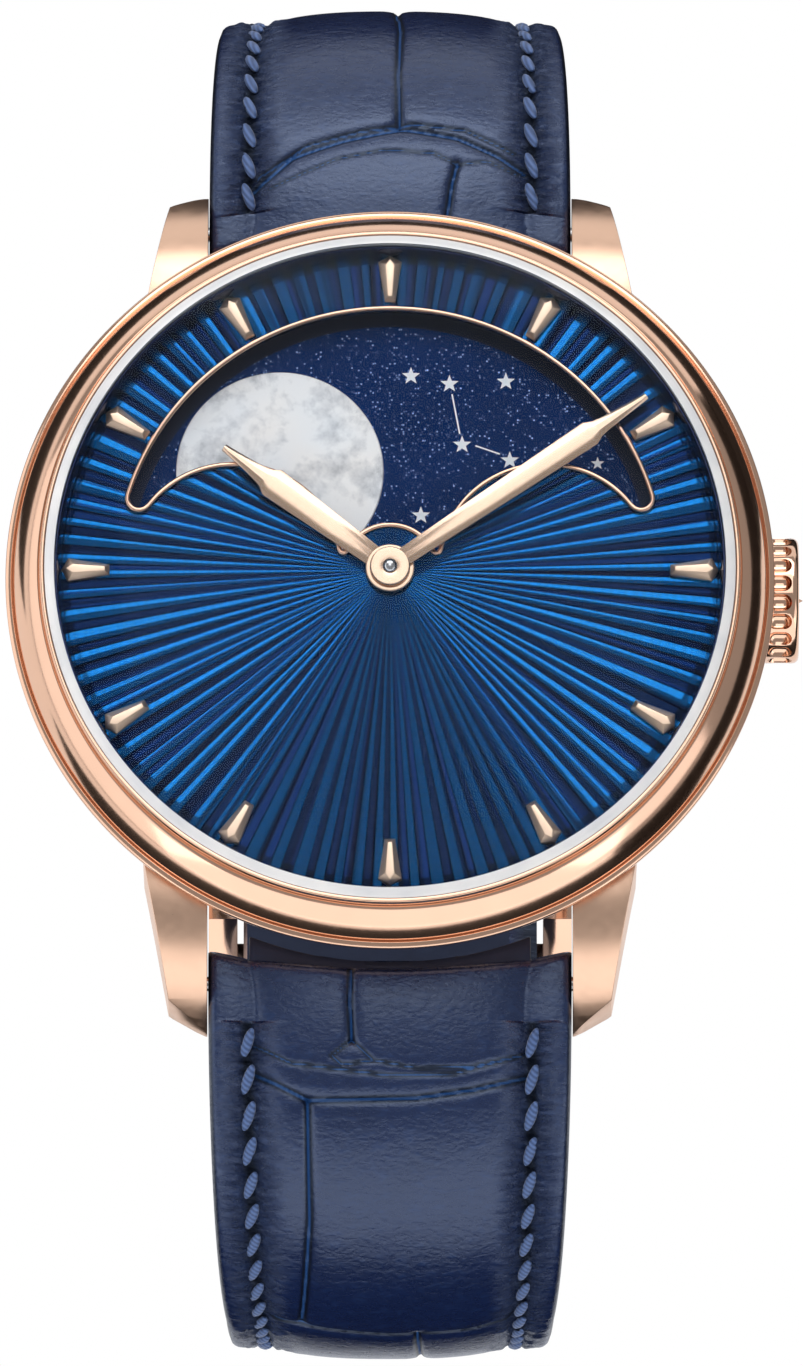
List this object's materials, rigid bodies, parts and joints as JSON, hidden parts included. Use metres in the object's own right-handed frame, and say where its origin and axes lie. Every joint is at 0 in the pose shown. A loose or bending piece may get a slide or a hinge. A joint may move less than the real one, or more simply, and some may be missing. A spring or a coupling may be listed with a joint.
{
  "type": "moon phase watch",
  "caption": "Round mechanical dress watch with a fluted dial, a moon phase disc in a large aperture, leaf hands, fluted crown, lugs and a buckled padded leather strap.",
  "frame": {"origin": "centre of the case back's outer face, on the hands' axis", "axes": "+Z leaves the dial along the hands' axis, +Y points to 12 o'clock and +X to 3 o'clock, where the crown is"},
  "size_m": [0.0434, 0.076, 0.053],
  "materials": {
    "rose_gold": "polished rose gold",
    "sapphire": "polished",
    "gasket": "matte",
    "steel": "satin",
    "polished_steel": "mirror polished",
    "blue_dial": "lacquered sunburst",
    "blue_flange": "glossy lacquer",
    "aventurine": "glittering dark blue",
    "mother_of_pearl": "pearly",
    "brass": "satin",
    "plated_movement": "rhodium plated",
    "ruby": "polished",
    "spring_steel": "blued",
    "blue_leather": "satin scaled leather"
  },
  "bodies": {
    "watch": {"case_middle": "rose_gold", "bezel": "rose_gold", "aperture_rim": "rose_gold", "hour_markers": "rose_gold", "buckle_frame": "rose_gold", "front_crystal": "sapphire", "back_crystal": "sapphire", "front_gasket": "gasket", "case_back_gasket": "gasket", "back_crystal_gasket": "gasket", "case_back": "steel", "case_back_screws": "steel", "movement_screws": "steel", "crown_tube": "steel", "spring_bar_12": "steel", "spring_bar_6": "steel", "buckle_bar": "steel", "dial": "blue_dial", "dial_flange": "blue_flange", "movement_holder": "brass", "module_plate": "brass", "main_plate": "plated_movement", "barrel_bridge": "plated_movement", "train_bridge": "plated_movement", "balance_cock": "plated_movement", "pallet_bridge": "plated_movement", "bridge_jewels": "ruby", "strap_12": "blue_leather", "strap_6": "blue_leather", "fixed_keeper": "blue_leather"},
    "minute_hand": {"minute_hand": "rose_gold", "cannon_pinion": "polished_steel"},
    "hour_hand": {"hour_hand": "rose_gold", "hour_wheel": "brass"},
    "minute_wheel": {"minute_wheel": "brass"},
    "moon": {"moon_disc": "aventurine", "moons": "mother_of_pearl", "moon_wheel": "brass"},
    "fourth_wheel": {"fourth_wheel": "brass"},
    "third_wheel": {"third_wheel": "brass"},
    "center_wheel": {"center_wheel": "brass"},
    "barrel": {"barrel": "brass", "mainspring": "spring_steel"},
    "escape_wheel": {"escape_wheel": "polished_steel"},
    "winding_pinion": {"winding_pinion": "steel", "sliding_pinion": "steel"},
    "crown": {"crown": "rose_gold", "stem": "steel"},
    "crown_wheel": {"crown_wheel": "steel"},
    "ratchet": {"ratchet_wheel": "steel", "barrel_arbor": "steel"},
    "click": {"click": "steel"},
    "pallet_fork": {"pallet_fork": "polished_steel"},
    "balance": {"balance_wheel": "brass", "hairspring": "spring_steel"},
    "buckle_tongue": {"buckle_tongue": "rose_gold"},
    "free_keeper": {"free_keeper": "blue_leather"}
  },
  "joints": [
    {"name": "minute_hand_turn", "type": "hinge", "parent": "watch", "child": "minute_hand", "pos_m": [0, 0, 0.0097], "axis": [0, 0, 1], "continuous": true},
    {"name": "hour_hand_turn", "type": "hinge", "parent": "watch", "child": "hour_hand", "pos_m": [0, 0, 0.0093], "axis": [0, 0, 1], "continuous": true},
    {"name": "minute_wheel_turn", "type": "hinge", "parent": "watch", "child": "minute_wheel", "pos_m": [0.0023, -0.00193, 0.0061], "axis": [0, 0, 1], "continuous": true},
    {"name": "moon_turn", "type": "hinge", "parent": "watch", "child": "moon", "pos_m": [0, 0, 0.0075], "axis": [0, 0, 1], "continuous": true},
    {"name": "fourth_wheel_turn", "type": "hinge", "parent": "watch", "child": "fourth_wheel", "pos_m": [-0.00083, -0.00672, 0.0032], "axis": [0, 0, 1], "continuous": true},
    {"name": "third_wheel_turn", "type": "hinge", "parent": "watch", "child": "third_wheel", "pos_m": [0.0027, -0.00468, 0.0035], "axis": [0, 0, 1], "continuous": true},
    {"name": "center_wheel_turn", "type": "hinge", "parent": "watch", "child": "center_wheel", "pos_m": [0, 0, 0.003], "axis": [0, 0, 1], "continuous": true},
    {"name": "barrel_turn", "type": "hinge", "parent": "watch", "child": "barrel", "pos_m": [0.00378, 0.00655, 0.0036], "axis": [0, 0, 1], "continuous": true},
    {"name": "escape_wheel_turn", "type": "hinge", "parent": "watch", "child": "escape_wheel", "pos_m": [-0.00455, -0.00807, 0.0035], "axis": [0, 0, 1], "continuous": true},
    {"name": "crown_turn", "type": "hinge", "parent": "watch", "child": "winding_pinion", "pos_m": [0.0115, 0, 0.00306], "axis": [1, 0, 0], "continuous": true},
    {"name": "crown_pull", "type": "slide", "parent": "winding_pinion", "child": "crown", "axis": [1, 0, 0], "range_m": [0, 0.0012]},
    {"name": "crown_wheel_turn", "type": "hinge", "parent": "watch", "child": "crown_wheel", "pos_m": [0.00802, 0, 0.0015], "axis": [0, 0, 1], "continuous": true},
    {"name": "ratchet_turn", "type": "hinge", "parent": "watch", "child": "ratchet", "pos_m": [0.00378, 0.00655, 0.0015], "axis": [0, 0, 1], "continuous": true},
    {"name": "click_lift", "type": "hinge", "parent": "watch", "child": "click", "pos_m": [-0.00214, 0.0087, 0.0015], "axis": [0, 0, 1], "range_deg": [0, 12], "stiffness_Nm_per_rad": 0.000002},
    {"name": "pallet_rock", "type": "hinge", "parent": "watch", "child": "pallet_fork", "pos_m": [-0.00681, -0.00677, 0.0036], "axis": [0, 0, 1], "range_deg": [-5, 5]},
    {"name": "balance_swing", "type": "hinge", "parent": "watch", "child": "balance", "pos_m": [-0.00906, -0.00547, 0.003], "axis": [0, 0, 1], "range_deg": [-140, 140], "stiffness_Nm_per_rad": 0.0000005, "deforming": ["hairspring"]},
    {"name": "tongue_lift", "type": "hinge", "parent": "watch", "child": "buckle_tongue", "pos_m": [0, 0.0022, -0.0371], "axis": [1, 0, 0], "range_deg": [0, 40]},
    {"name": "keeper_slide", "type": "hinge", "parent": "watch", "child": "free_keeper", "pos_m": [0, 0.012, -0.0122], "axis": [1, 0, 0], "range_deg": [0, 10]}
  ],
  "couplings": [
    {"joint": "hour_hand_turn", "follows": "minute_hand_turn", "ratio": 0.083333},
    {"joint": "minute_wheel_turn", "follows": "minute_hand_turn", "ratio": -0.33333},
    {"joint": "third_wheel_turn", "follows": "fourth_wheel_turn", "ratio": -0.13333},
    {"joint": "center_wheel_turn", "follows": "fourth_wheel_turn", "ratio": 0.016667},
    {"joint": "barrel_turn", "follows": "fourth_wheel_turn", "ratio": -0.0027778},
    {"joint": "escape_wheel_turn", "follows": "fourth_wheel_turn", "ratio": -10},
    {"joint": "crown_wheel_turn", "follows": "crown_turn", "ratio": 0.33333},
    {"joint": "ratchet_turn", "follows": "crown_turn", "ratio": -0.25758}
  ]
}
